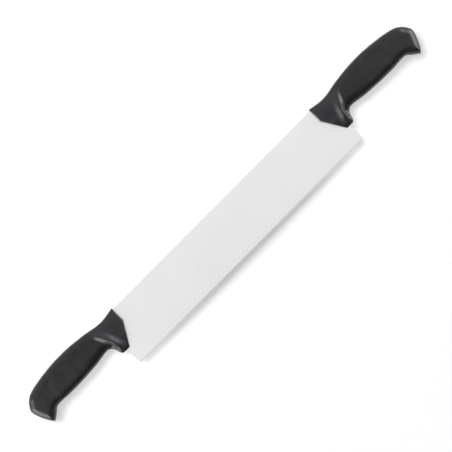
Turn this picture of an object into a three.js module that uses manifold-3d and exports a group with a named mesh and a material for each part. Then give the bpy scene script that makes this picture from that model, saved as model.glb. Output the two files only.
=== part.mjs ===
// A double-handled cheese knife: one straight stainless blade with a moulded plastic handle at each end.
// Millimetres, +Z up. The knife lies on its side, as it does on a table: X runs along the blade, +Y points
// to the blade's back and Z is the thickness. The origin is on the table, under the middle of the knife.

import * as THREE from 'three';
import { mergeVertices } from 'three/addons/utils/BufferGeometryUtils.js';
import { LoftGeometry } from 'three/addons/geometries/LoftGeometry.js';
import Module from 'manifold-3d';

const wasm = await Module();
wasm.setup();

// Blade
const BLADE_LENGTH = 360; // between its two square ends
const BLADE_WIDTH = 65.4; // from the back to the cutting edge
const BLADE_THICKNESS = 2; // at the back; both sides are ground flat and thin towards the cutting edge
const SHOULDER_THICKNESS = 0.5; // left above the bevel
const BEVEL_WIDTH = 1.2; // ground on both sides of the cutting edge
const EDGE_THICKNESS = 0.2; // left standing at the cutting edge

// Tang: the blade's flat tongue inside each handle, keyed by plastic that flows through its holes
const TANG_COVER = 6.5; // plastic above and below the tang at the handle's neck
const TANG_TIP_COVER = 45; // plastic between the tang's tip and the butt
const TANG_TIP_RADIUS = 5;
const TANG_FILLET = 4; // inside corners where the tang leaves the blade
const BACK_COVER = 3; // length of the blade's back inside the handle
const LOCK_HOLE_DIAMETER = 7;
const LOCK_HOLE_INSET = 14; // from the tang's tip to the outer hole
const LOCK_HOLE_PITCH = 32;
const MOULD_CLEARANCE = 0.3; // between the steel and the plastic around it

// Handle outline. Stations run outwards from the handle's front and insets inwards from its butt;
// drops run down from the blade's back and rises up from it.
const HANDLE_LENGTH = 147.6;
const HANDLE_OVERLAP = 20.6; // the front lies this far in from the blade's square end
const LIP_RISE = 1.6; // front top corner
const THUMB_STATION = 20; // dip in the back for the thumb
const THUMB_DROP = 1;
const NAPE_RISE = 2.9; // halfway from the thumb dip to the crown
const CROWN_STATION = 72; // highest place of the back
const CROWN_RISE = 5.4;
const RUMP_RISE = 4.2; // halfway from the crown to the heel
const HEEL_INSET = 13; // where the back turns down to the butt
const HEEL_DROP = 2;
const BUTT_TOP_INSET = 5;
const BUTT_TOP_DROP = 7.8;
const BUTT_DROP = 17.4; // the butt's outermost place
const HOOK_INSET = 11.9; // tip of the hook under the little finger
const HOOK_DROP = 43.5;
const HOOK_OUTER_RUN = 3.4; // round the tip, on the butt's side
const HOOK_OUTER_RISE = 4.2;
const HOOK_INNER_RUN = 6.5; // up the hook, on the finger's side
const HOOK_INNER_RISE = 4.7;
const HOOK_ROOT_INSET = 25.6;
const HOOK_ROOT_DROP = 33.3;
const PALM_REAR_DROP = 33.5; // three quarters of the way from the neck to the hook's root
const PALM_DROP = 33.2; // halfway
const PALM_FRONT_DROP = 31.7; // a quarter of the way
const NECK_STATION = 35.4; // bottom of the finger notch
const NECK_DROP = 29.6;
const NOTCH_STATION = 30.4; // the notch's front wall, which is the guard's rear
const NOTCH_DROP = 34.1;
const GUARD_REAR_STATION = 26.4; // the guard's lower rear corner
const GUARD_REAR_DROP = 43.4;
const GUARD_FRONT_STATION = 16.4; // the guard's lower front corner
const GUARD_DROP = 44.2;
const CHEEK_DROP = 17; // where the front turns from square to slanted

// Handle thickness. Depths are taken off each side.
const HANDLE_THICKNESS = 24; // over the flats
const FLAT_DEPTH = 0.5; // cut off the swelling grip and the guard's crest to make the flats
const WAIST_DEPTH = 2.8; // behind the guard, under the first finger
const WAIST_END_STATION = 72; // where the waist has swelled to the grip
const BOLSTER_DEPTH = 3.6; // in front of the crest
const CHEEK_DEPTH = 1.4; // in front of the crest too, but low down, towards the guard
const CHEEK_FILL_DROP = 21.6; // where the bolster begins to fill out to the cheek
const CHEEK_FULL_DROP = 39;
const GUARD_TAPER = 0.44; // thickness that each side of the guard loses for each millimetre of drop
const GUARD_TAPER_DROP = 27.5; // where the taper begins
const GUARD_TAPER_EASE = 6; // how softly it sets in
const FRONT_DEPTH = 3; // lost once more towards the bolster's front edge
const FRONT_TAPER_LENGTH = 18.5;
const FRONT_FILLET = 0.8;

// Guard crest: it leans back as it climbs from the guard, and fades out below the back.
const CREST_REAR_STATION = 41.5; // middle of its steep rear slope, drawn on up to the blade's back
const CREST_REAR_LEAN = 0.55; // station lost for each millimetre of drop
const CREST_REAR_WIDTH = 6;
const CREST_FOOT_STATION = 25.8; // the rear slope stops leaning here and runs down the guard's rear
const CREST_FOOT_EASE = 2.4; // how softly it bends there
const CREST_FOOT_WIDTH = 3.6; // it is steeper there
const CREST_FRONT_STATION = 29.4; // middle of its gentle front slope
const CREST_FRONT_LEAN = 0.3;
const CREST_FRONT_WIDTH = 10;
const CREST_FULL_DROP = 22; // it stands out fully from here down
const SCOOP_SHARE = 0.5; // share of its height that the rear slope falls too far, above the notch
const SCOOP_DROP = 22; // this scoop begins here
const SCOOP_FULL_DROP = 30;
const SCOOP_STATION = 27.5; // its deepest place
const SCOOP_END_STATION = 33;

// Edge rounding: width of the rounded band inside each stretch of the outline
const BACK_ROUND = 8.9;
const BUTT_ROUND = 12;
const BELLY_ROUND = 12.7;
const NECK_ROUND = 10.5;
const GUARD_ROUND = 5.8;
const GUARD_ROUND_STATION = 25.5; // up to here the belly's edge is rounded as the guard's
const NECK_ROUND_STATION = 33; // from here as the neck's, under the first finger
const NECK_END_STATION = 44; // up to here
const BELLY_ROUND_STATION = 62; // and from here as the grip's
const ROUND_BLEND = 8; // power by which bands merge where they meet
const BODY_SHOULDER = 2.15; // power by which a band meets the handle's side
const BODY_WALL = 2.9; // power by which it stands up from the outline
const NECK_SHOULDER = 1.4;
const NECK_WALL = 2.2;
const GUARD_SHOULDER = 2;
const GUARD_WALL = 5;

// Mesh fineness
const STEPS_ACROSS = 14;
const CHEEK_STEP = 6; // the step that lies on the front's corner
const FILLET_SHARES = [ 0, 0.002, 0.006 ]; // of the handle's length, over the front fillet
const FRONT_SHARE = 0.36; // of the handle's length, up to the grip
const STEPS_FRONT = 16;
const STEPS_REAR = 16;
const OUTLINE_STEPS = 120;

const bladeEnd = BLADE_LENGTH / 2;
const handleFront = bladeEnd - HANDLE_OVERLAP;
const spineY = ( BLADE_WIDTH - CROWN_RISE ) / 2;
const midZ = HANDLE_THICKNESS / 2;
const wholeLength = BLADE_LENGTH + 2 * HANDLE_LENGTH; // longer than the knife by the overlaps

const steel = new THREE.MeshStandardMaterial( { color: 0xd6d6d4, metalness: 1, roughness: 0.35 } );
const plastic = new THREE.MeshStandardMaterial( { color: 0x1a1a1b, metalness: 0, roughness: 0.6 } );

function toSolid( geometry ) {

	const bare = new THREE.BufferGeometry();
	bare.setAttribute( 'position', geometry.attributes.position );
	bare.setIndex( geometry.index );
	const merged = mergeVertices( bare );
	const corners = merged.index.array;
	const kept = [];
	for ( let i = 0; i < corners.length; i += 3 ) {

		const [ a, b, c ] = corners.slice( i, i + 3 );
		if ( a !== b && b !== c && c !== a ) kept.push( a, b, c );

	}

	return new wasm.Manifold( new wasm.Mesh( {
		numProp: 3,
		vertProperties: new Float32Array( merged.attributes.position.array ),
		triVerts: new Uint32Array( kept )
	} ) );

}

function toMesh( name, solid, material ) {

	const { vertProperties, triVerts } = solid.getMesh();
	const geometry = new THREE.BufferGeometry();
	geometry.setAttribute( 'position', new THREE.BufferAttribute( vertProperties, 3 ) );
	geometry.setIndex( new THREE.BufferAttribute( triVerts, 1 ) );
	geometry.computeVertexNormals();
	const mesh = new THREE.Mesh( geometry, material );
	mesh.name = name;
	return mesh;

}

// Blade

// The blank's outline with its two tangs, moved outwards all round by grow. Its lock holes shrink by as
// much.
function blankShape( grow ) {

	const back = spineY + grow;
	const edge = spineY - BLADE_WIDTH - grow;
	const end = bladeEnd + grow;
	const shoulder = handleFront + BACK_COVER + grow;
	const tangTop = spineY - TANG_COVER + grow;
	const tangBottom = spineY - NECK_DROP + TANG_COVER - grow;
	const tangTip = handleFront + HANDLE_LENGTH - TANG_TIP_COVER + grow;
	const inner = TANG_FILLET - grow;
	const outer = TANG_TIP_RADIUS + grow;
	const quarter = Math.PI / 2;

	const shape = new THREE.Shape();
	shape.moveTo( - end, edge );
	shape.lineTo( end, edge );
	shape.absarc( end + inner, tangBottom - inner, inner, 2 * quarter, quarter, true );
	shape.absarc( tangTip - outer, tangBottom + outer, outer, - quarter, 0, false );
	shape.absarc( tangTip - outer, tangTop - outer, outer, 0, quarter, false );
	shape.absarc( shoulder + inner, tangTop + inner, inner, - quarter, - 2 * quarter, true );
	shape.lineTo( shoulder, back );
	shape.lineTo( - shoulder, back );
	shape.absarc( - shoulder - inner, tangTop + inner, inner, 0, - quarter, true );
	shape.absarc( outer - tangTip, tangTop - outer, outer, quarter, 2 * quarter, false );
	shape.absarc( outer - tangTip, tangBottom + outer, outer, 2 * quarter, 3 * quarter, false );
	shape.absarc( - end - inner, tangBottom - inner, inner, quarter, 0, true );
	shape.closePath();

	const outerHole = tangTip - grow - LOCK_HOLE_INSET;
	const innerHole = outerHole - LOCK_HOLE_PITCH;
	for ( const x of [ outerHole, innerHole, - innerHole, - outerHole ] ) {

		const hole = new THREE.Path();
		hole.absarc( x, ( tangTop + tangBottom ) / 2, LOCK_HOLE_DIAMETER / 2 - grow, 0, 4 * quarter, true );
		shape.holes.push( hole );

	}

	return shape;

}

// A bar with the blade's cross-section, moved outwards by grow: a long wedge with a bevel below it. It
// reaches past the back and, as a point, past the cutting edge.
function groundBar( grow ) {

	const edge = spineY - BLADE_WIDTH;
	const shoulder = edge + BEVEL_WIDTH;
	const top = spineY + BLADE_WIDTH;
	const taper = ( BLADE_THICKNESS - SHOULDER_THICKNESS ) / ( BLADE_WIDTH - BEVEL_WIDTH );
	const bevel = ( SHOULDER_THICKNESS - EDGE_THICKNESS ) / BEVEL_WIDTH;
	const halfTop = ( BLADE_THICKNESS + taper * BLADE_WIDTH ) / 2 + grow;
	const halfShoulder = SHOULDER_THICKNESS / 2 + grow;
	const point = edge - ( EDGE_THICKNESS + 2 * grow ) / bevel;
	const section = new THREE.Shape();
	section.moveTo( top, halfTop );
	section.lineTo( shoulder, halfShoulder );
	section.lineTo( point, 0 );
	section.lineTo( shoulder, - halfShoulder );
	section.lineTo( top, - halfTop );
	section.closePath();

	const geometry = new THREE.ExtrudeGeometry( section, { depth: wholeLength, bevelEnabled: false } );
	const along = new THREE.Vector3( 1, 0, 0 );
	const across = new THREE.Vector3( 0, 1, 0 );
	const up = new THREE.Vector3( 0, 0, 1 );
	geometry.applyMatrix4( new THREE.Matrix4().makeBasis( across, up, along ) );
	geometry.translate( - wholeLength / 2, 0, midZ );
	return toSolid( geometry );

}

// The blank cut from a thicker plate and ground; grown, it is the hollow that it leaves in the plastic.
function bladeSolid( grow ) {

	const depth = HANDLE_THICKNESS;
	const plate = new THREE.ExtrudeGeometry( blankShape( grow ), { depth, bevelEnabled: false } );
	return toSolid( plate ).intersect( groundBar( grow ) );

}

// Handle outline, in stations and drops

function curveThrough( ...places ) {

	const points = places.map( ( [ station, drop ] ) => new THREE.Vector3( station, drop, 0 ) );
	return new THREE.CatmullRomCurve3( points, false, 'centripetal' );

}

const heelStation = HANDLE_LENGTH - HEEL_INSET;
const hookRootStation = HANDLE_LENGTH - HOOK_ROOT_INSET;
const hookStation = HANDLE_LENGTH - HOOK_INSET;
const buttTop = [ HANDLE_LENGTH - BUTT_TOP_INSET, BUTT_TOP_DROP ];

const backCurve = curveThrough(
	[ 0, - LIP_RISE ],
	[ THUMB_STATION, THUMB_DROP ],
	[ ( THUMB_STATION + CROWN_STATION ) / 2, - NAPE_RISE ],
	[ CROWN_STATION, - CROWN_RISE ],
	[ ( CROWN_STATION + heelStation ) / 2, - RUMP_RISE ],
	[ heelStation, HEEL_DROP ],
	buttTop
);

const buttCurve = curveThrough(
	buttTop,
	[ HANDLE_LENGTH, BUTT_DROP ],
	[ hookStation + HOOK_OUTER_RUN, HOOK_DROP - HOOK_OUTER_RISE ],
	[ hookStation, HOOK_DROP ]
);

const palmStation = ( NECK_STATION + hookRootStation ) / 2;

const bellyCurve = curveThrough(
	[ GUARD_FRONT_STATION, GUARD_DROP ],
	[ GUARD_REAR_STATION, GUARD_REAR_DROP ],
	[ NOTCH_STATION, NOTCH_DROP ],
	[ NECK_STATION, NECK_DROP ],
	[ ( NECK_STATION + palmStation ) / 2, PALM_FRONT_DROP ],
	[ palmStation, PALM_DROP ],
	[ ( palmStation + hookRootStation ) / 2, PALM_REAR_DROP ],
	[ hookRootStation, HOOK_ROOT_DROP ],
	[ hookStation - HOOK_INNER_RUN, HOOK_DROP - HOOK_INNER_RISE ],
	[ hookStation, HOOK_DROP ]
);

const frontCorners = [
	new THREE.Vector3( 0, - LIP_RISE, 0 ),
	new THREE.Vector3( 0, CHEEK_DROP, 0 ),
	new THREE.Vector3( GUARD_FRONT_STATION, GUARD_DROP, 0 )
];

// Steps across crowd towards the back and the belly, where the section is round.
const acrossShare = ( step ) => ( 1 - Math.cos( Math.PI * step / STEPS_ACROSS ) ) / 2;
const acrossShares = [ ...Array( STEPS_ACROSS ).keys(), STEPS_ACROSS ].map( acrossShare );

function frontPoint( share ) {

	const [ lip, cheek, guard ] = frontCorners;
	const cheekShare = acrossShare( CHEEK_STEP );
	if ( share < cheekShare ) return lip.clone().lerp( cheek, share / cheekShare );
	return cheek.clone().lerp( guard, ( share - cheekShare ) / ( 1 - cheekShare ) );

}

// A point of the side view, carried by the four edges of the outline: along 0 is the front and 1 the butt,
// across 0 is the back and 1 the belly.
function sidePoint( along, across ) {

	const between = ( a, b, share ) => a.clone().lerp( b, share );
	const ruled = between( backCurve.getPointAt( along ), bellyCurve.getPointAt( along ), across );
	const ends = between( frontPoint( across ), buttCurve.getPointAt( across ), along );
	const front = between( frontPoint( 0 ), frontPoint( 1 ), across );
	const rear = between( buttCurve.getPointAt( 0 ), buttCurve.getPointAt( 1 ), across );
	return ruled.add( ends ).sub( between( front, rear, along ) );

}

// Handle thickness

const { smoothstep, lerp } = THREE.MathUtils;

function nearestOnLine( point, line ) {

	const nearest = line[ 0 ].clone();
	const place = new THREE.Vector3();
	for ( let i = 1; i < line.length; i ++ ) {

		new THREE.Line3( line[ i - 1 ], line[ i ] ).closestPointToPoint( point, true, place );
		if ( place.distanceTo( point ) < nearest.distanceTo( point ) ) nearest.copy( place );

	}

	return nearest;

}

const backLine = backCurve.getSpacedPoints( OUTLINE_STEPS );
const buttLine = buttCurve.getSpacedPoints( OUTLINE_STEPS );
const bellyLine = bellyCurve.getSpacedPoints( OUTLINE_STEPS );

// Share of the thickness that stands at a point inside the outline: it rises from 0 on the outline to 1
// inside the rounded bands.
function fullness( point ) {

	const nearness = ( place, width ) => ( width / place.distanceTo( point ) ) ** ROUND_BLEND;
	const onBelly = nearestOnLine( point, bellyLine );
	const pastGuard = smoothstep( onBelly.x, GUARD_ROUND_STATION, NECK_ROUND_STATION );
	const pastNeck = smoothstep( onBelly.x, NECK_END_STATION, BELLY_ROUND_STATION );
	const alongBelly = ( guard, neck, grip ) => lerp( lerp( guard, neck, pastGuard ), grip, pastNeck );
	const toBelly = nearness( onBelly, alongBelly( GUARD_ROUND, NECK_ROUND, BELLY_ROUND ) );
	const toBack = nearness( nearestOnLine( point, backLine ), BACK_ROUND );
	const toButt = nearness( nearestOnLine( point, buttLine ), BUTT_ROUND );
	const toOutline = toBelly + toBack + toButt;

	const inside = Math.min( 1, toOutline ** ( - 1 / ROUND_BLEND ) );
	const bellyShoulder = alongBelly( GUARD_SHOULDER, NECK_SHOULDER, BODY_SHOULDER );
	const bellyWall = alongBelly( GUARD_WALL, NECK_WALL, BODY_WALL );
	const shoulder = lerp( BODY_SHOULDER, bellyShoulder, toBelly / toOutline );
	const wall = lerp( BODY_WALL, bellyWall, toBelly / toOutline );
	return ( 1 - ( 1 - inside ) ** shoulder ) ** ( 1 / wall );

}

// Share of a slope that is climbed at a station: 0 before it, 1 past it.
function slopeShare( station, middle, width ) {

	return smoothstep( station, middle - width / 2, middle + width / 2 );

}

// Half the handle's thickness at a point of the side view, before its flats are cut.
function halfThickness( point ) {

	const { x: station, y: drop } = point;
	const swell = HANDLE_THICKNESS / 2 + FLAT_DEPTH;
	const waist = HANDLE_THICKNESS / 2 - WAIST_DEPTH;
	const bolster = HANDLE_THICKNESS / 2 - BOLSTER_DEPTH;
	const fullCheek = HANDLE_THICKNESS / 2 - CHEEK_DEPTH;

	const lean = CREST_REAR_STATION - CREST_REAR_LEAN * drop - CREST_FOOT_STATION;
	const rearSlope = CREST_FOOT_STATION + ( lean + Math.hypot( lean, CREST_FOOT_EASE ) ) / 2;
	const frontSlope = CREST_FRONT_STATION - CREST_FRONT_LEAN * drop;
	const grip = lerp( waist, swell, smoothstep( station, rearSlope, WAIST_END_STATION ) );
	const crest = lerp( waist, swell, smoothstep( drop, 0, CREST_FULL_DROP ) );
	const cheek = lerp( bolster, fullCheek, smoothstep( drop, CHEEK_FILL_DROP, CHEEK_FULL_DROP ) );
	const below = Math.max( 0, drop - GUARD_TAPER_DROP );
	const thinned = GUARD_TAPER * below ** 2 / ( below + GUARD_TAPER_EASE );
	const guard = lerp( cheek, crest, slopeShare( station, frontSlope, CREST_FRONT_WIDTH ) ) - thinned;
	const low = smoothstep( drop, SCOOP_DROP, SCOOP_FULL_DROP );
	const rearWidth = lerp( CREST_REAR_WIDTH, CREST_FOOT_WIDTH, low );
	const scoop = SCOOP_SHARE * low * ( 1 - smoothstep( station, SCOOP_STATION, SCOOP_END_STATION ) );
	const body = lerp( guard, grip, slopeShare( station, rearSlope, rearWidth ) * ( 1 + scoop ) );

	const fromFront = nearestOnLine( point, frontCorners ).distanceTo( point );
	const intoTaper = Math.max( 0, 1 - fromFront / FRONT_TAPER_LENGTH );
	const taper = FRONT_DEPTH * body / bolster * intoTaper ** 2;
	const intoFillet = Math.max( 0, 1 - fromFront / FRONT_FILLET );
	const fillet = FRONT_FILLET * ( 1 - Math.sqrt( 1 - intoFillet ** 2 ) );
	return ( body - taper - fillet ) * fullness( point );

}

// Handle solid

// Rings are close together over the guard, and crowd again towards the round butt.
const frontShare = ( step ) => FRONT_SHARE * ( step + 1 ) / STEPS_FRONT;
const rearShare = ( step ) => lerp( FRONT_SHARE, 1, Math.sin( Math.PI / 2 * step / STEPS_REAR ) );
const frontShares = [ ...Array( STEPS_FRONT - 1 ).keys() ].map( frontShare );
const rearShares = [ ...Array( STEPS_REAR ).keys() ].map( rearShare );
const alongShares = [ ...FILLET_SHARES, ...frontShares, ...rearShares ];

// One ring round the handle, from the back over the upper side to the belly, and back below. It meets the
// outline in the middle plane, and lies wholly in that plane if it isn't full.
function ring( along, full ) {

	const place = ( across, side ) => {

		const point = sidePoint( along, across );
		const raised = full && across > 0 && across < 1;
		const height = raised ? side * halfThickness( point ) : 0;
		return new THREE.Vector3( handleFront + point.x, spineY - point.y, midZ + height );

	};
	const upper = acrossShares.map( ( across ) => place( across, 1 ) );
	const lower = acrossShares.slice( 1, - 1 ).map( ( across ) => place( across, - 1 ) );
	return [ ...upper, ...lower.reverse() ];

}

function handleSolid() {

	const rings = alongShares.map( ( along ) => ring( along, true ) );
	const body = toSolid( new LoftGeometry( [ ring( 0, false ), ...rings, ring( 1, false ) ] ) );
	const slab = new THREE.BoxGeometry( wholeLength, wholeLength, HANDLE_THICKNESS );
	slab.translate( 0, 0, midZ );
	return body.intersect( toSolid( slab ) ).subtract( bladeSolid( MOULD_CLEARANCE ) );

}

const bladeMesh = toMesh( 'blade', bladeSolid( 0 ), steel );
const rightHandle = toMesh( 'right_handle', handleSolid(), plastic );

// The handle is alike on both sides, so turned end for end it is the left one.
const leftHandle = new THREE.Mesh( rightHandle.geometry, plastic );
leftHandle.name = 'left_handle';
leftHandle.rotation.y = Math.PI;
leftHandle.position.z = 2 * midZ;

const knife = new THREE.Group();
knife.add( bladeMesh, leftHandle, rightHandle );

export default knife;
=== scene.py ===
"""A double-handled cheese knife lying on a white table, seen from straight above.

Sizes are in millimetres and become metres where a mesh is made. The knife lies on its side: X runs along
the blade, +Y points to the blade's back and Z is the thickness.
"""

import math

import bpy
import numpy as np
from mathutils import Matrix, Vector


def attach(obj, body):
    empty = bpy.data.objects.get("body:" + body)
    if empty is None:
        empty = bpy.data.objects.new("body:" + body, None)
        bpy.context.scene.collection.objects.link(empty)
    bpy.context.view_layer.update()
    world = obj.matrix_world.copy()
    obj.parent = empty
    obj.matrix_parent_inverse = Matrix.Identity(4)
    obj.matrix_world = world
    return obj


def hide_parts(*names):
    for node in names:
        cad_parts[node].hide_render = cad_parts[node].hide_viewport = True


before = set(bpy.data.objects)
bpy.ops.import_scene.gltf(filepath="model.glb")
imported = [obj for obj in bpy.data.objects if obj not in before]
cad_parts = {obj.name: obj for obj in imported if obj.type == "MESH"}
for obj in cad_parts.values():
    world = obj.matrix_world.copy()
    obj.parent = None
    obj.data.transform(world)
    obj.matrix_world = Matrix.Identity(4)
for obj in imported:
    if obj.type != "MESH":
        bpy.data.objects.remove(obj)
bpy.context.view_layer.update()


# The blade: one blank of stainless sheet, ground thin from its back to a narrow bevel at the cutting edge.
# It is polished across its length, which leaves fine lines that run from the back to the edge. Its flat
# tongues run into the handles.
STEEL_COLOUR = (0.81, 0.81, 0.81, 1)
STEEL_LINE_COLOUR = (0.785, 0.785, 0.785, 1)
STEEL_ROUGHNESS = (0.26, 0.31)  # from the smoothest patches to the roughest
STEEL_PATCHES = 28  # to the metre
POLISH_LINES = 2200  # to the metre of blade
POLISH_LINE_STRETCH = 0.012  # cells of their noise along the lines, as a share of those across
POLISH_LINE_DETAIL = 3
POLISH_LINE_DEPTH = 0.000004  # in metres
POLISH_LINE_STRENGTH = 0.15
CLOUD_DETAIL = 4
CLOUD_RANGE = (0.3, 0.7)  # nearly all of the noise lies between these levels


def feed(tree, socket, value):
    """Links an input to another node's output, or sets it to a plain value."""
    if isinstance(value, bpy.types.NodeSocket):
        tree.links.new(value, socket)
    else:
        socket.default_value = value


def add_node(tree, kind, inputs=None, **settings):
    """Adds a node with these settings, and feeds the inputs that are given by name or number."""
    node = tree.nodes.new(kind)
    for key, value in settings.items():
        setattr(node, key, value)
    for key, value in (inputs or {}).items():
        feed(tree, node.inputs[key], value)
    return node


def noise(tree, place, to_metre, detail):
    """Noise with this many cells to the metre."""
    inputs = {"Vector": place, "Scale": to_metre, "Detail": detail}
    return add_node(tree, "ShaderNodeTexNoise", inputs).outputs["Fac"]


def mixed_colour(tree, share, low, high):
    """The colour that lies a share of the way from low to high."""
    mix = add_node(tree, "ShaderNodeMix", {"Factor": share}, data_type="RGBA")
    sockets = {socket.identifier: socket for socket in (*mix.inputs, *mix.outputs)}
    feed(tree, sockets["A_Color"], low)
    feed(tree, sockets["B_Color"], high)
    return sockets["Result_Color"]


def remap(tree, value, old, new):
    """Carries a value over from the range old to the range new, and holds it inside."""
    inputs = {"Value": value, "From Min": old[0], "From Max": old[1], "To Min": new[0], "To Max": new[1]}
    return add_node(tree, "ShaderNodeMapRange", inputs).outputs["Result"]


def uneven_finish():
    """Shader group of soft cloudy patches: noise of a given patch size, spread from one value to another."""
    group = bpy.data.node_groups.new("uneven_finish", "ShaderNodeTree")
    for name in ("Patches", "From", "To"):
        group.interface.new_socket(name, in_out="INPUT", socket_type="NodeSocketFloat")
    group.interface.new_socket("Value", in_out="OUTPUT", socket_type="NodeSocketFloat")
    given = add_node(group, "NodeGroupInput").outputs
    place = add_node(group, "ShaderNodeTexCoord").outputs["Object"]
    clouds = noise(group, place, given["Patches"], CLOUD_DETAIL)
    value = remap(group, clouds, CLOUD_RANGE, (given["From"], given["To"]))
    add_node(group, "NodeGroupOutput", {"Value": value})
    return group


def patchy(tree, patches, to_metre, spread):
    """Places the group of cloudy patches: how many to the metre, and the values that they lie between."""
    least, most = spread
    inputs = {"Patches": to_metre, "From": least, "To": most}
    return add_node(tree, "ShaderNodeGroup", inputs, node_tree=patches).outputs["Value"]


def new_material(name):
    """A material, its node tree and the inputs of its shader."""
    material = bpy.data.materials.new(name)
    material.use_nodes = True
    tree = material.node_tree
    return material, tree, tree.nodes["Principled BSDF"].inputs


def blade_steel(patches):
    """Polished stainless steel: fine lines along Y, as noise stretched along Y, in colour and relief."""
    material, tree, steel = new_material("blade_steel")
    steel["Metallic"].default_value = 1
    place = add_node(tree, "ShaderNodeTexCoord").outputs["Object"]
    stretch = {"Vector": place, "Scale": (1, POLISH_LINE_STRETCH, 1)}
    stretched = add_node(tree, "ShaderNodeMapping", stretch).outputs["Vector"]
    lines = noise(tree, stretched, POLISH_LINES, POLISH_LINE_DETAIL)
    feed(tree, steel["Base Color"], mixed_colour(tree, lines, STEEL_LINE_COLOUR, STEEL_COLOUR))
    feed(tree, steel["Roughness"], patchy(tree, patches, STEEL_PATCHES, STEEL_ROUGHNESS))
    relief = {"Height": lines, "Strength": POLISH_LINE_STRENGTH, "Distance": POLISH_LINE_DEPTH}
    feed(tree, steel["Normal"], add_node(tree, "ShaderNodeBump", relief).outputs["Normal"])
    return material


finish_patches = uneven_finish()
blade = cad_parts["blade"]
blade.data.materials.clear()
blade.data.materials.append(blade_steel(finish_patches))


# The handles: black polypropylene, one shot moulded over each tongue. A smooth bolster with a finger guard
# stands in front, then the grip with its fine moulded grain, and a hooked butt.
HANDLE_FRONT = 159.4  # from the middle of the knife
HANDLE_LENGTH = 147.6
BLADE_BACK = 30  # above the middle of the knife's box
MIDDLE_HEIGHT = 12  # of the blade's plane, above the table

# Outlines as stations from the front and drops below the blade's back
LIP = (0, -1.6)
GUARD_CORNER = (16.4, 44.2)
BUTT_TOP = (HANDLE_LENGTH - 5, 7.8)
HOOK_TIP = (HANDLE_LENGTH - 11.9, 43.5)
BACK_PLACES = [LIP, (20, 1), (46, -2.9), (72, -5.4), (103.3, -4.2), (134.6, 2), BUTT_TOP]
BUTT_PLACES = [BUTT_TOP, (HANDLE_LENGTH, 17.4), (139.1, 39.3), HOOK_TIP]
GUARD_PLACES = [GUARD_CORNER, (26.4, 43.4), (30.4, 34.1), (35.4, 29.6)]
PALM_PLACES = [(57.05, 31.7), (78.7, 33.2), (100.35, 33.5), (122, 33.3), (129.2, 38.8), HOOK_TIP]
FRONT_PLACES = [LIP, (0, 17), GUARD_CORNER]

# Thickness, with depths taken off each side
HALF_THICKNESS = 12  # over the flats
FLAT_DEPTH = 0.5  # cut off the swelling grip and the crest
FLAT_SOFTNESS = 0.22
WAIST_DEPTH = 2.8  # behind the crest
WAIST_END = 72  # station where the waist has swelled to the grip
BOLSTER_DEPTH = 3.6  # in front of the crest
CHEEK_DEPTH = 1.4  # in front of it too, but low down
CHEEK_FILL_DROP = 21.6  # where the bolster begins to fill out to the cheek
CHEEK_FULL_DROP = 39
GUARD_TAPER = 0.44  # lost on each side for each millimetre of drop, once it has set in
GUARD_TAPER_DROP = 27.5  # where it begins
GUARD_TAPER_EASE = 6  # the drop that it takes to set in
FRONT_DEPTH = 3  # lost once more towards the front edge
FRONT_TAPER = 18.5  # how far behind that edge it begins
FRONT_FILLET = 0.8

# The guard's crest: stations of its slopes, drawn on up to the blade's back, and half their widths
CREST_REAR = 41.5
CREST_REAR_LEAN = 0.55  # station lost for each millimetre of drop
CREST_REAR_REACH = 3
CREST_FOOT = 25.8  # station where the rear slope stops leaning
CREST_FOOT_EASE = 2.4  # softens the bend there
CREST_FOOT_REACH = 1.8
CREST_FRONT = 29.4
CREST_FRONT_LEAN = 0.3
CREST_FRONT_REACH = 5
CREST_FULL_DROP = 22  # it stands out fully from here down
SCOOP_SHARE = 0.5  # how much too far the rear slope falls above the finger notch
SCOOP_DROP = 22
SCOOP_FULL_DROP = 30
SCOOP_DEEPEST = 27.5  # station up to which it is full
SCOOP_END = 33

# Widths of the rounded bands along the outline, and the powers by which they meet the side and the outline
BACK_ROUND = 8.9
BUTT_ROUND = 12
BELLY_ROUND = 12.7
GUARD_ROUND = 5.8
NECK_ROUND = 10.5
GUARD_ROUND_END = 25.5  # station where the guard's rounding begins to give way to the neck's
NECK_ROUND_START = 33
NECK_ROUND_END = 44
BELLY_ROUND_START = 62
ROUND_BLEND = 8  # power of the mean that merges two bands
BODY_SHOULDER, BODY_WALL = 2.15, 2.9
NECK_SHOULDER, NECK_WALL = 1.4, 2.2
GUARD_SHOULDER, GUARD_WALL = 2, 5
LEAST_DEPTH = 1e-9  # stands for none, on the outline itself

# Where the smooth finishes end, as stations
BOLSTER_FINISH_END = 34  # drawn on up to the blade's back: it leans as the crest's front does
GRAIN_START = 44
GRAIN_END = HANDLE_LENGTH - 30
BUTT_FINISH_START = HANDLE_LENGTH - 16

# Rows of the handle's grid as shares of its length, and columns as shares of the way from back to belly
CURVE_STEPS = 60  # between two places of an outline
WALL_STEPS = 6  # rows up the front wall
FILLET_SHARES = np.array([0, 0.0004, 0.001, 0.0018, 0.0028, 0.004, 0.0055, 0.0075, 0.01, 0.013])
GUARD_START, GUARD_STEPS = 0.016, 110
GRIP_START, GRIP_STEPS = 0.36, 120
GUARD_SHARES = np.linspace(GUARD_START, GRIP_START, GUARD_STEPS)
QUARTER_TURN = np.linspace(0, np.pi / 2, GRIP_STEPS + 1)[1:]
GRIP_SHARES = GRIP_START + (1 - GRIP_START) * np.sin(QUARTER_TURN)
ACROSS_STEPS = 84
ACROSS_SHARES = (1 - np.cos(np.pi * np.arange(ACROSS_STEPS + 1) / ACROSS_STEPS)) / 2
CHEEK_STEP = 36  # the column that starts at the front's corner
SHARP_ANGLE = math.radians(28)
METRE = 1000  # millimetres


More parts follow.
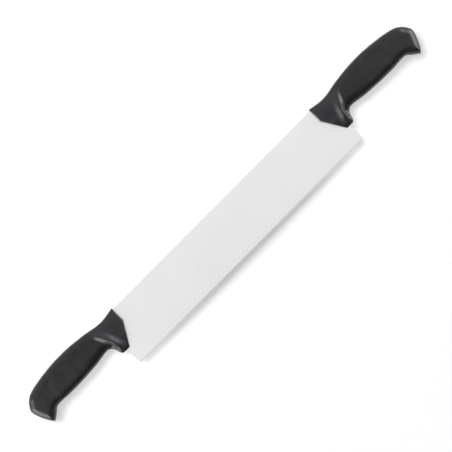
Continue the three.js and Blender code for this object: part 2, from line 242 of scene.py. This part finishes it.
def smooth_curve(places):
    """Centripetal Catmull-Rom spline: between two places a cubic whose end slopes come from the
    neighbouring places, each gap weighted by the square root of its length."""
    known = np.array(places, float)
    known = np.vstack([2 * known[0] - known[1], known, 2 * known[-1] - known[-2]])
    gap = np.sqrt(np.linalg.norm(np.diff(known, axis=0), axis=1))[:, None]
    before, start, end, after = known[:-3], known[1:-2], known[2:-1], known[3:]
    g0, g1, g2 = gap[:-2], gap[1:-1], gap[2:]
    leave = ((start - before) / g0 - (end - before) / (g0 + g1) + (end - start) / g1) * g1
    arrive = ((end - start) / g1 - (after - start) / (g1 + g2) + (after - end) / g2) * g1
    share = np.linspace(0, 1, CURVE_STEPS, endpoint=False)[None, :, None]
    start, end, leave, arrive = (part[:, None] for part in (start, end, leave, arrive))
    square = 3 * (end - start) - 2 * leave - arrive
    cube = 2 * (start - end) + leave + arrive
    curve = start + share * (leave + share * (square + share * cube))
    return np.vstack([curve.reshape(-1, 2), known[-2]])


back_line = smooth_curve(BACK_PLACES)
butt_line = smooth_curve(BUTT_PLACES)
belly_line = smooth_curve(GUARD_PLACES + PALM_PLACES)
front_line = np.array(FRONT_PLACES, float)


def walk(line, shares):
    """Points at the given shares of a line's length."""
    length = np.concatenate([[0], np.cumsum(np.linalg.norm(np.diff(line, axis=0), axis=1))])
    return np.stack([np.interp(shares * length[-1], length, line[:, i]) for i in (0, 1)], -1)


def walk_front(shares):
    """Points of the front: its square part up to the cheek's column, then its slanted part."""
    known = [0, ACROSS_SHARES[CHEEK_STEP], 1]
    return np.stack([np.interp(shares, known, front_line[:, i]) for i in (0, 1)], -1)


def nearest_on(line, points):
    """Nearest place on a line of straight pieces: its distance from each point, and its station."""
    start, step = line[:-1], np.diff(line, axis=0)
    offset = points[..., None, :] - start
    share = np.clip((offset * step).sum(-1) / (step * step).sum(-1), 0, 1)
    distance = np.linalg.norm(offset - share[..., None] * step, axis=-1)
    nearest = distance.argmin(-1)[..., None]
    station = np.take_along_axis(start[:, 0] + share * step[:, 0], nearest, -1)
    return np.take_along_axis(distance, nearest, -1)[..., 0], station[..., 0]


def ramp(value, low, high):
    """0 below low, 1 above high, and a smooth S between them."""
    share = np.clip((value - low) / (high - low), 0, 1)
    return share * share * (3 - 2 * share)


def blend(low, high, share):
    """The value at a share of the way from low to high."""
    return low + (high - low) * share


def side_view(along, across):
    """Points of the side view, carried by its four edges: the sum of the sheet ruled from back to belly and
    the one from front to butt, less the one that the four corners span alone."""
    a, c = along[:, None, None], across[None, :, None]
    back, belly = walk(back_line, along)[:, None], walk(belly_line, along)[:, None]
    front, butt = walk_front(across)[None], walk(butt_line, across)[None]
    ruled = blend(back, belly, c) + blend(front, butt, a)
    corners = blend(blend(front[:, :1], front[:, -1:], c), blend(butt[:, :1], butt[:, -1:], c), a)
    return ruled - corners


def fullness(points):
    """Share of the handle's thickness that stands at each point: 0 on the outline and 1 inside its rounded
    bands. Depths are distances over band widths, merged by a power mean. One power of what is left to the
    band's end sets how the band meets the side, and a root sets how steeply it leaves the outline. Along the
    belly the guard's values give way to the neck's, and those to the grip's."""
    from_back, from_butt = (nearest_on(line, points)[0] for line in (back_line, butt_line))
    from_belly, belly_station = nearest_on(belly_line, points)
    past_guard = ramp(belly_station, GUARD_ROUND_END, NECK_ROUND_START)
    past_neck = ramp(belly_station, NECK_ROUND_END, BELLY_ROUND_START)

    def along_belly(guard, neck, grip):
        return blend(blend(guard, neck, past_guard), grip, past_neck)

    belly_width = along_belly(GUARD_ROUND, NECK_ROUND, BELLY_ROUND)
    depths = np.stack([from_belly / belly_width, from_back / BACK_ROUND, from_butt / BUTT_ROUND])
    nearness = np.maximum(depths, LEAST_DEPTH) ** -ROUND_BLEND
    left = 1 - np.minimum(1, nearness.sum(0) ** (-1 / ROUND_BLEND))
    on_belly = nearness[0] / nearness.sum(0)
    shoulder = blend(BODY_SHOULDER, along_belly(GUARD_SHOULDER, NECK_SHOULDER, BODY_SHOULDER), on_belly)
    wall = blend(BODY_WALL, along_belly(GUARD_WALL, NECK_WALL, BODY_WALL), on_belly)
    return (1 - left**shoulder) ** (1 / wall)


def half_thickness(points):
    """Half the handle's thickness over its side view. A waist swells to the grip behind the guard's crest,
    the bolster lies lower in front of it and fills out towards the guard, which thins to its lower edge. The
    crest's rear slope leans, then bends softly to run down the guard's rear, where it is steeper and falls
    into a scoop. The front edge is tapered and filleted, the outline is rounded, and the flats are a soft
    limit."""
    station, drop = points[..., 0], points[..., 1]
    swell = HALF_THICKNESS + FLAT_DEPTH
    waist = HALF_THICKNESS - WAIST_DEPTH
    bolster = HALF_THICKNESS - BOLSTER_DEPTH
    lean = CREST_REAR - CREST_REAR_LEAN * drop
    rear = (lean + CREST_FOOT + np.hypot(lean - CREST_FOOT, CREST_FOOT_EASE)) / 2
    front = CREST_FRONT - CREST_FRONT_LEAN * drop
    grip = blend(waist, swell, ramp(station, rear, WAIST_END))
    crest = blend(waist, swell, ramp(drop, 0, CREST_FULL_DROP))
    cheek = blend(bolster, HALF_THICKNESS - CHEEK_DEPTH, ramp(drop, CHEEK_FILL_DROP, CHEEK_FULL_DROP))
    below = np.maximum(drop - GUARD_TAPER_DROP, 0)
    guard = blend(cheek, crest, ramp(station, front - CREST_FRONT_REACH, front + CREST_FRONT_REACH))
    guard = guard - GUARD_TAPER * below**2 / (below + GUARD_TAPER_EASE)
    low = ramp(drop, SCOOP_DROP, SCOOP_FULL_DROP)
    reach = blend(CREST_REAR_REACH, CREST_FOOT_REACH, low)
    scoop = SCOOP_SHARE * low * (1 - ramp(station, SCOOP_DEEPEST, SCOOP_END))
    body = blend(guard, grip, ramp(station, rear - reach, rear + reach) * (1 + scoop))

    inside = nearest_on(front_line, points)[0]
    body = body - FRONT_DEPTH * body / bolster * np.clip(1 - inside / FRONT_TAPER, 0, 1) ** 2
    fillet = np.clip(1 - inside / FRONT_FILLET, 0, 1)
    body = body - FRONT_FILLET * (1 - np.sqrt(1 - fillet**2))
    height = body * fullness(points)
    return height - FLAT_SOFTNESS * np.log1p(np.exp((height - HALF_THICKNESS) / FLAT_SOFTNESS))


def handle_sheet():
    """Upper half of the handle as a grid: rows up the front wall from the blade's plane, then rows along the
    handle to the butt, each from the back to the belly. Gives stations with drops, and heights."""
    along = np.concatenate([FILLET_SHARES, GUARD_SHARES, GRIP_SHARES])
    points = side_view(along, ACROSS_SHARES)
    height = half_thickness(points)
    height[:, [0, -1]] = 0
    height[-1] = 0
    wall = np.linspace(0, 1, WALL_STEPS, endpoint=False)[:, None] * height[0]
    points = np.concatenate([np.repeat(points[:1], WALL_STEPS, 0), points])
    return points, np.concatenate([wall, height])


def quads_between(numbers):
    """Quads between neighbouring rows and columns of a grid of point numbers."""
    corners = [numbers[:-1, :-1], numbers[1:, :-1], numbers[1:, 1:], numbers[:-1, 1:]]
    return np.stack(corners, -1).reshape(-1, 4)


def closed_piece(name, points, quads, material, **attributes):
    """An object from points in millimetres, with attributes that give a value at each. A quad with two
    corners alike becomes a triangle, and points that no face uses are left out."""
    alike = quads == np.roll(quads, 1, axis=1)
    short = alike.any(1)
    triangles = quads[short][~alike[short]].reshape(-1, 3)
    used = np.unique(quads)
    renumber = np.zeros(len(points), int)
    renumber[used] = np.arange(len(used))
    faces = renumber[quads[~short]].tolist() + renumber[triangles].tolist()
    mesh = bpy.data.meshes.new(name)
    mesh.from_pydata((points[used] / METRE).tolist(), [], faces)
    for key, values in attributes.items():
        layer = mesh.attributes.new(key, "FLOAT", "POINT")
        layer.data.foreach_set("value", values[used].astype(np.float32))
    mesh.polygons.foreach_set("use_smooth", np.ones(len(mesh.polygons), bool))
    mesh.set_sharp_from_angle(angle=SHARP_ANGLE)
    mesh.materials.append(material)
    piece = bpy.data.objects.new(name, mesh)
    bpy.context.scene.collection.objects.link(piece)
    return piece


def handle_piece(name, side, material):
    """The handle as two like sheets that meet in the blade's plane: side 1 points to +X and -1 to -X. The
    attributes say where the bolster and the butt have their smooth finish."""
    flat, height = handle_sheet()
    rows, columns = height.shape
    upper = np.arange(rows * columns).reshape(rows, columns)
    upper[:WALL_STEPS, 0] = upper[WALL_STEPS, 0]
    upper[:WALL_STEPS, -1] = upper[WALL_STEPS, -1]
    lower = upper + rows * columns
    for edge in (np.s_[0, :], np.s_[-1, :], np.s_[:, 0], np.s_[:, -1]):
        lower[edge] = upper[edge]
    station, drop = flat[..., 0].ravel(), flat[..., 1].ravel()
    plan = np.stack([side * (HANDLE_FRONT + station), BLADE_BACK - drop], -1)
    high = np.column_stack([plan, MIDDLE_HEIGHT + height.ravel()])
    low = np.column_stack([plan, MIDDLE_HEIGHT - height.ravel()])
    quads = np.concatenate([quads_between(upper)[:, ::-1], quads_between(lower)])
    bolster = 1 - ramp(station + CREST_FRONT_LEAN * drop, BOLSTER_FINISH_END, GRAIN_START)
    butt = ramp(station, GRAIN_END, BUTT_FINISH_START)
    return closed_piece(
        name,
        np.concatenate([high, low]),
        quads[:, ::side],
        material,
        bolster=np.tile(bolster, 2),
        butt=np.tile(butt, 2),
    )


GRIP_COLOUR = (0.0042, 0.0041, 0.0041, 1)
BOLSTER_COLOUR = (0.0118, 0.0114, 0.0143, 1)
BUTT_COLOUR = (0.0061, 0.0053, 0.0055, 1)
MOTTLES = ((55, (0.7, 1.3)), (650, (0.75, 1.25)))  # patches to the metre, and their shares of the colour
PLASTIC_SPECULAR = 0.3
PLASTIC_PATCHES = 90
PLASTIC_ROUGHNESS = (0.38, 0.42)
PITS = 1900  # of the grain, to the metre
PIT_DETAIL = 2
PIT_DEPTH = 0.0001  # in metres
WAVES = ((70, 40), (330, 7))  # shallow waves to the metre, and their height in pit depths
WAVE_DETAIL = 1
GRIP_RELIEF = 0.35
SMOOTH_RELIEF = 0.05  # on the bolster and the butt


def calculate(tree, operation, *terms):
    """Result of a Math node on outputs and plain numbers."""
    return add_node(tree, "ShaderNodeMath", dict(enumerate(terms)), operation=operation).outputs["Value"]


def plastic_colour(tree, bolster, butt, patches):
    """Black of the grip, the bolster and the butt, times broad and fine cloudy patches."""
    colour = mixed_colour(tree, bolster, GRIP_COLOUR, BOLSTER_COLOUR)
    colour = mixed_colour(tree, butt, colour, BUTT_COLOUR)
    for to_metre, spread in MOTTLES:
        inputs = {0: colour, "Scale": patchy(tree, patches, to_metre, spread)}
        colour = add_node(tree, "ShaderNodeVectorMath", inputs, operation="SCALE").outputs["Vector"]
    return colour


def plastic_relief(tree, bolster, butt):
    """Normals of fine pits on shallow waves, summed as heights and weaker on the bolster and the butt."""
    place = add_node(tree, "ShaderNodeTexCoord").outputs["Object"]
    height = noise(tree, place, PITS, PIT_DETAIL)
    for to_metre, depth in WAVES:
        height = calculate(tree, "MULTIPLY_ADD", noise(tree, place, to_metre, WAVE_DETAIL), depth, height)
    smooth = calculate(tree, "MAXIMUM", bolster, butt)
    strength = calculate(tree, "MULTIPLY_ADD", smooth, SMOOTH_RELIEF - GRIP_RELIEF, GRIP_RELIEF)
    relief = {"Height": height, "Strength": strength, "Distance": PIT_DEPTH}
    return add_node(tree, "ShaderNodeBump", relief).outputs["Normal"]


def handle_plastic(patches):
    """Black moulded plastic: fine pitted grain on the grip, smoother on the bolster and the butt, with
    cloudy patches in its colour and roughness."""
    material, tree, plastic = new_material("handle_plastic")
    plastic["Specular IOR Level"].default_value = PLASTIC_SPECULAR
    bolster = add_node(tree, "ShaderNodeAttribute", attribute_name="bolster").outputs["Fac"]
    butt = add_node(tree, "ShaderNodeAttribute", attribute_name="butt").outputs["Fac"]
    feed(tree, plastic["Base Color"], plastic_colour(tree, bolster, butt, patches))
    feed(tree, plastic["Roughness"], patchy(tree, patches, PLASTIC_PATCHES, PLASTIC_ROUGHNESS))
    feed(tree, plastic["Normal"], plastic_relief(tree, bolster, butt))
    return material


black_plastic = handle_plastic(finish_patches)
for name, side in (("left", -1), ("right", 1)):
    handle = handle_piece(f"{name}_grip", side, black_plastic)
    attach(handle, "root")
    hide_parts(f"{name}_handle")


# The table: a plain white sheet under the knife, which goes on past the picture. It is matt, so that it
# keeps the knife's soft shadow, and glows a little where it is seen, so that it stays white.
TABLE_REACH = 4  # metres
TABLE_COLOUR = (0.8, 0.8, 0.8, 1)
TABLE_GLOW = 0.34


def seen_directly(tree):
    """1 for the rays that show a background: from the camera, off gloss or through glass."""
    path = add_node(tree, "ShaderNodeLightPath").outputs
    camera_or_gloss = calculate(tree, "MAXIMUM", path["Is Camera Ray"], path["Is Glossy Ray"])
    return calculate(tree, "MAXIMUM", camera_or_gloss, path["Is Transmission Ray"])


def table_white():
    """White diffuse sheet that also glows for the rays that show a background."""
    material = bpy.data.materials.new("table_white")
    material.use_nodes = True
    tree = material.node_tree
    tree.nodes.remove(tree.nodes["Principled BSDF"])
    sheet = add_node(tree, "ShaderNodeBsdfDiffuse", {"Color": TABLE_COLOUR}).outputs["BSDF"]
    glow = calculate(tree, "MULTIPLY", seen_directly(tree), TABLE_GLOW)
    shine = add_node(tree, "ShaderNodeEmission", {"Strength": glow}).outputs["Emission"]
    both = add_node(tree, "ShaderNodeAddShader", {0: sheet, 1: shine}).outputs["Shader"]
    feed(tree, tree.nodes["Material Output"].inputs["Surface"], both)
    return material


table_corners = [(x * TABLE_REACH, y * TABLE_REACH, 0) for x, y in ((-1, -1), (1, -1), (1, 1), (-1, 1))]
table_mesh = bpy.data.meshes.new("table")
table_mesh.from_pydata(table_corners, [], [(0, 1, 2, 3)])
table_mesh.materials.append(table_white())
table = bpy.data.objects.new("table", table_mesh)
bpy.context.scene.collection.objects.link(table)


# The light: a white studio, brighter on the side of the blade's back and dark on the cutting edge's. A broad
# soft lamp stands above the back. Past each butt a bright soft lamp shows in the plastic's gloss, and a small
# lamp beside each belly lightens it and the shadow there.
ROOM_COLOUR = (1, 1, 1, 1)
ROOM_LIGHT = 0.1  # on matt surfaces
# Levels that show in gloss, by how far a direction points to the blade's back
ROOM_GLOSS = [(-1, 0.03), (-0.8, 0.095), (-0.55, 0.2), (-0.28, 0.7), (0, 1), (0.35, 1.32), (0.7, 1.5)]
ROOM_BRIGHTEST = ROOM_GLOSS[-1][1]
# Lamps in metres, with those at the ends and the bellies given for the right handle
KNIFE_MIDDLE = (0, 0, 0)
BACK_LAMP_PLACE = (-1.81, 6.82, 9.71)
BACK_LAMP_SIZE = (8.4, 8.4)
BACK_LAMP_RADIANCE = 6.9
END_LAMP_PLACE = (1.3, -0.09, 0.485)
END_LAMP_AIM = (0.2, 0, 0.02)
END_LAMP_SIZE = (1.22, 1.07)
END_LAMP_RADIANCE = 9.5
FILL_PLACE = (0.235, -0.06, 0.1)
FILL_AIM = (0.235, -0.01, 0)
FILL_SIZE = (0.12, 0.06)
FILL_RADIANCE = 2.5

world = bpy.data.worlds.new("studio")
bpy.context.scene.world = world
world.use_nodes = True
tree = world.node_tree
direction = add_node(tree, "ShaderNodeTexCoord").outputs["Generated"]
towards_back = add_node(tree, "ShaderNodeSeparateXYZ", {"Vector": direction}).outputs["Y"]
walls = add_node(tree, "ShaderNodeValToRGB", {"Fac": remap(tree, towards_back, (-1, 1), (0, 1))})
stops = walls.color_ramp.elements
while len(stops) < len(ROOM_GLOSS):
    stops.new(1)
for stop, (place, level) in zip(stops, ROOM_GLOSS):
    stop.position = (place + 1) / 2
    stop.color = (*[level / ROOM_BRIGHTEST] * 3, 1)
gloss = calculate(tree, "MULTIPLY", walls.outputs["Color"], ROOM_BRIGHTEST)
plain = remap(tree, seen_directly(tree), (0, 1), (ROOM_LIGHT, 1))
glossy_ray = add_node(tree, "ShaderNodeLightPath").outputs["Is Glossy Ray"]
strength = add_node(tree, "ShaderNodeMix", {"Factor": glossy_ray, "A": plain, "B": gloss}).outputs["Result"]
room = tree.nodes["Background"].inputs
feed(tree, room["Color"], ROOM_COLOUR)
feed(tree, room["Strength"], strength)


def soft_lamp(name, place, aim, size, radiance):
    """A rectangular lamp that faces aim. Its power is its radiance times pi times its area."""
    width, height = size
    lamp = bpy.data.lights.new(name, "AREA")
    lamp.shape = "RECTANGLE"
    lamp.size = width
    lamp.size_y = height
    lamp.energy = radiance * math.pi * width * height
    stand = bpy.data.objects.new(name, lamp)
    stand.location = place
    stand.rotation_mode = "QUATERNION"
    stand.rotation_quaternion = (Vector(aim) - Vector(place)).to_track_quat("-Z", "Y")
    stand.visible_camera = False
    bpy.context.scene.collection.objects.link(stand)
    return stand


def at_end(end, place):
    """The like place at the right end, 1, or at the left end, -1."""
    x, y, z = place
    return end * x, y, z


lamp = soft_lamp("back_lamp", BACK_LAMP_PLACE, KNIFE_MIDDLE, BACK_LAMP_SIZE, BACK_LAMP_RADIANCE)
lamp.visible_glossy = False
for name, end in (("left_lamp", -1), ("right_lamp", 1)):
    place, aim = at_end(end, END_LAMP_PLACE), at_end(end, END_LAMP_AIM)
    lamp = soft_lamp(name, place, aim, END_LAMP_SIZE, END_LAMP_RADIANCE)
    lamp.visible_diffuse = False
    place, aim = at_end(end, FILL_PLACE), at_end(end, FILL_AIM)
    lamp = soft_lamp(f"{name}_fill", place, aim, FILL_SIZE, FILL_RADIANCE)
    lamp.visible_glossy = False


# The camera hangs straight above the knife, and is turned so that the blade rises to the right. Its lens
# follows from how wide the picture is in the blade's plane.
BLADE_TURN = math.radians(45.17)
CAMERA_HEIGHT = 1.8125  # metres
CAMERA_PLACE = (-0.00085, 0.00519, CAMERA_HEIGHT)
PICTURE_WIDTH = 0.515
SENSOR_WIDTH = 36  # millimetres

view = bpy.data.cameras.new("camera")
view.sensor_width = SENSOR_WIDTH
view.lens = SENSOR_WIDTH * (CAMERA_HEIGHT - MIDDLE_HEIGHT / METRE) / PICTURE_WIDTH
camera = bpy.data.objects.new("camera", view)
camera.location = CAMERA_PLACE
camera.rotation_euler = (0, 0, -BLADE_TURN)
bpy.context.scene.collection.objects.link(camera)
bpy.context.scene.camera = camera
bpy.context.scene.view_settings.view_transform = "Standard"
